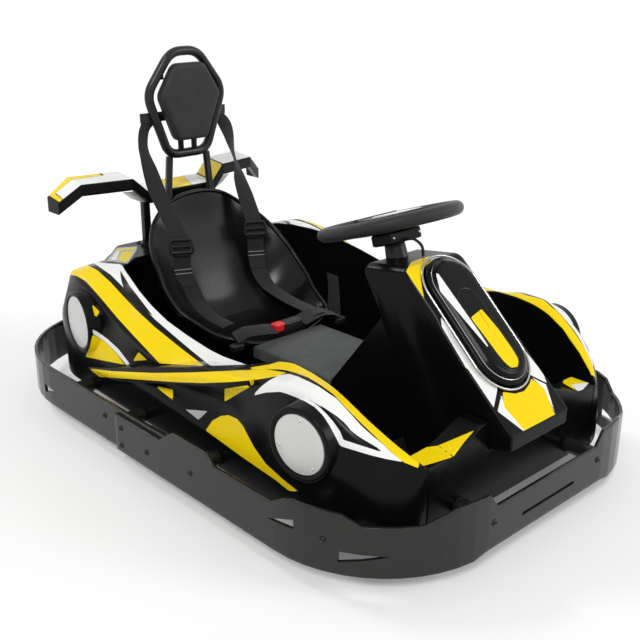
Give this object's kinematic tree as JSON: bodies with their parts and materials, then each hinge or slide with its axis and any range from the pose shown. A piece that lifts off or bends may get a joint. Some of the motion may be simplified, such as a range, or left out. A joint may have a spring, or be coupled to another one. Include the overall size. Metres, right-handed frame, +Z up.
{
  "type": "electric drift kart",
  "caption": "Low electric drift kart with a bumper ring, side pods with round covers, bucket seat, harness, head rest, rear wing and a driven front wheel steered through a sloped console.",
  "frame": {"origin": "on the floor below the middle of the bumper ring", "axes": "+Z up, the nose towards -Y, the driver's right side at -X"},
  "size_m": [1.04, 1.57, 0.9585],
  "materials": {
    "black_plastic": "semi-gloss moulded black plastic with yellow and white stripes",
    "black_gloss": "glossy black moulded plastic",
    "bumper_plastic": "dark grey-black glossy strip",
    "black_steel": "black powder coat",
    "grey_disc": "light grey round cover",
    "rubber": "black rubber",
    "tyre": "solid rubber tyre",
    "foam_skin": "matte dark grey padding",
    "webbing": "black woven webbing",
    "red_plastic": "black buckle with a red release button",
    "zinc": "zinc-plated steel",
    "battery_case": "plain case"
  },
  "bodies": {
    "kart": {"battery": "battery_case", "buckle": "red_plastic", "bumper_front_strip": "bumper_plastic", "bumper_rear_strip": "bumper_plastic", "chassis_frame": "black_steel", "column_housing": "black_steel", "console": "black_plastic", "console_pod": "black_gloss", "disc_cover_front_left": "grey_disc", "disc_cover_front_right": "grey_disc", "disc_cover_rear_left": "grey_disc", "disc_cover_rear_right": "grey_disc", "floor_pan": "black_plastic", "front_cowl": "black_plastic", "headrest_frame": "black_steel", "headrest_pad": "foam_skin", "lap_belt_left": "webbing", "lap_belt_right": "webbing", "pedal_left": "black_steel", "pedal_right": "black_steel", "rear_deck": "black_plastic", "seat_mount": "black_steel", "seat_shell": "black_gloss", "shoulder_strap_left": "webbing", "shoulder_strap_right": "webbing", "side_pod_left": "black_plastic", "side_pod_right": "black_plastic", "switch_box": "black_plastic", "switch_cable": "rubber", "tunnel_cushion": "foam_skin", "wing": "black_plastic"},
    "steering": {"steering_wheel": "black_plastic", "steering_shaft": "zinc"},
    "drive_yoke": {"yoke": "black_steel"},
    "drive_wheel": {"hub_motor": "zinc", "drive_tyre": "tyre"},
    "fork_front_left": {"caster_fork_front_left": "zinc"},
    "fork_front_right": {"caster_fork_front_right": "zinc"},
    "fork_rear_left": {"caster_fork_rear_left": "zinc"},
    "fork_rear_right": {"caster_fork_rear_right": "zinc"},
    "wheel_front_left": {"caster_wheel_front_left": "rubber"},
    "wheel_front_right": {"caster_wheel_front_right": "rubber"},
    "wheel_rear_left": {"caster_wheel_rear_left": "rubber"},
    "wheel_rear_right": {"caster_wheel_rear_right": "rubber"}
  },
  "joints": [
    {"name": "steer", "type": "hinge", "parent": "kart", "child": "steering", "pos_m": [0, -0.296, 0.616], "axis": [0, 0.3123, 0.95], "range_deg": [-90, 90]},
    {"name": "yoke_turn", "type": "hinge", "parent": "kart", "child": "drive_yoke", "pos_m": [0, -0.425, 0.2], "axis": [0, 0, 1], "range_deg": [-90, 90]},
    {"name": "drive_roll", "type": "hinge", "parent": "drive_yoke", "child": "drive_wheel", "pos_m": [0, -0.425, 0.083], "axis": [1, 0, 0], "continuous": true},
    {"name": "swivel_front_left", "type": "hinge", "parent": "kart", "child": "fork_front_left", "pos_m": [0.285, -0.5, 0.07], "axis": [0, 0, 1], "continuous": true},
    {"name": "swivel_front_right", "type": "hinge", "parent": "kart", "child": "fork_front_right", "pos_m": [-0.285, -0.5, 0.07], "axis": [0, 0, 1], "continuous": true},
    {"name": "swivel_rear_left", "type": "hinge", "parent": "kart", "child": "fork_rear_left", "pos_m": [0.3, 0.515, 0.1], "axis": [0, 0, 1], "continuous": true},
    {"name": "swivel_rear_right", "type": "hinge", "parent": "kart", "child": "fork_rear_right", "pos_m": [-0.3, 0.515, 0.1], "axis": [0, 0, 1], "continuous": true},
    {"name": "roll_front_left", "type": "hinge", "parent": "fork_front_left", "child": "wheel_front_left", "pos_m": [0.285, -0.482, 0.025], "axis": [1, 0, 0], "continuous": true},
    {"name": "roll_front_right", "type": "hinge", "parent": "fork_front_right", "child": "wheel_front_right", "pos_m": [-0.285, -0.482, 0.025], "axis": [1, 0, 0], "continuous": true},
    {"name": "roll_rear_left", "type": "hinge", "parent": "fork_rear_left", "child": "wheel_rear_left", "pos_m": [0.3, 0.545, 0.0375], "axis": [1, 0, 0], "continuous": true},
    {"name": "roll_rear_right", "type": "hinge", "parent": "fork_rear_right", "child": "wheel_rear_right", "pos_m": [-0.3, 0.545, 0.0375], "axis": [1, 0, 0], "continuous": true}
  ],
  "couplings": [
    {"joint": "yoke_turn", "follows": "steer", "ratio": 1}
  ]
}
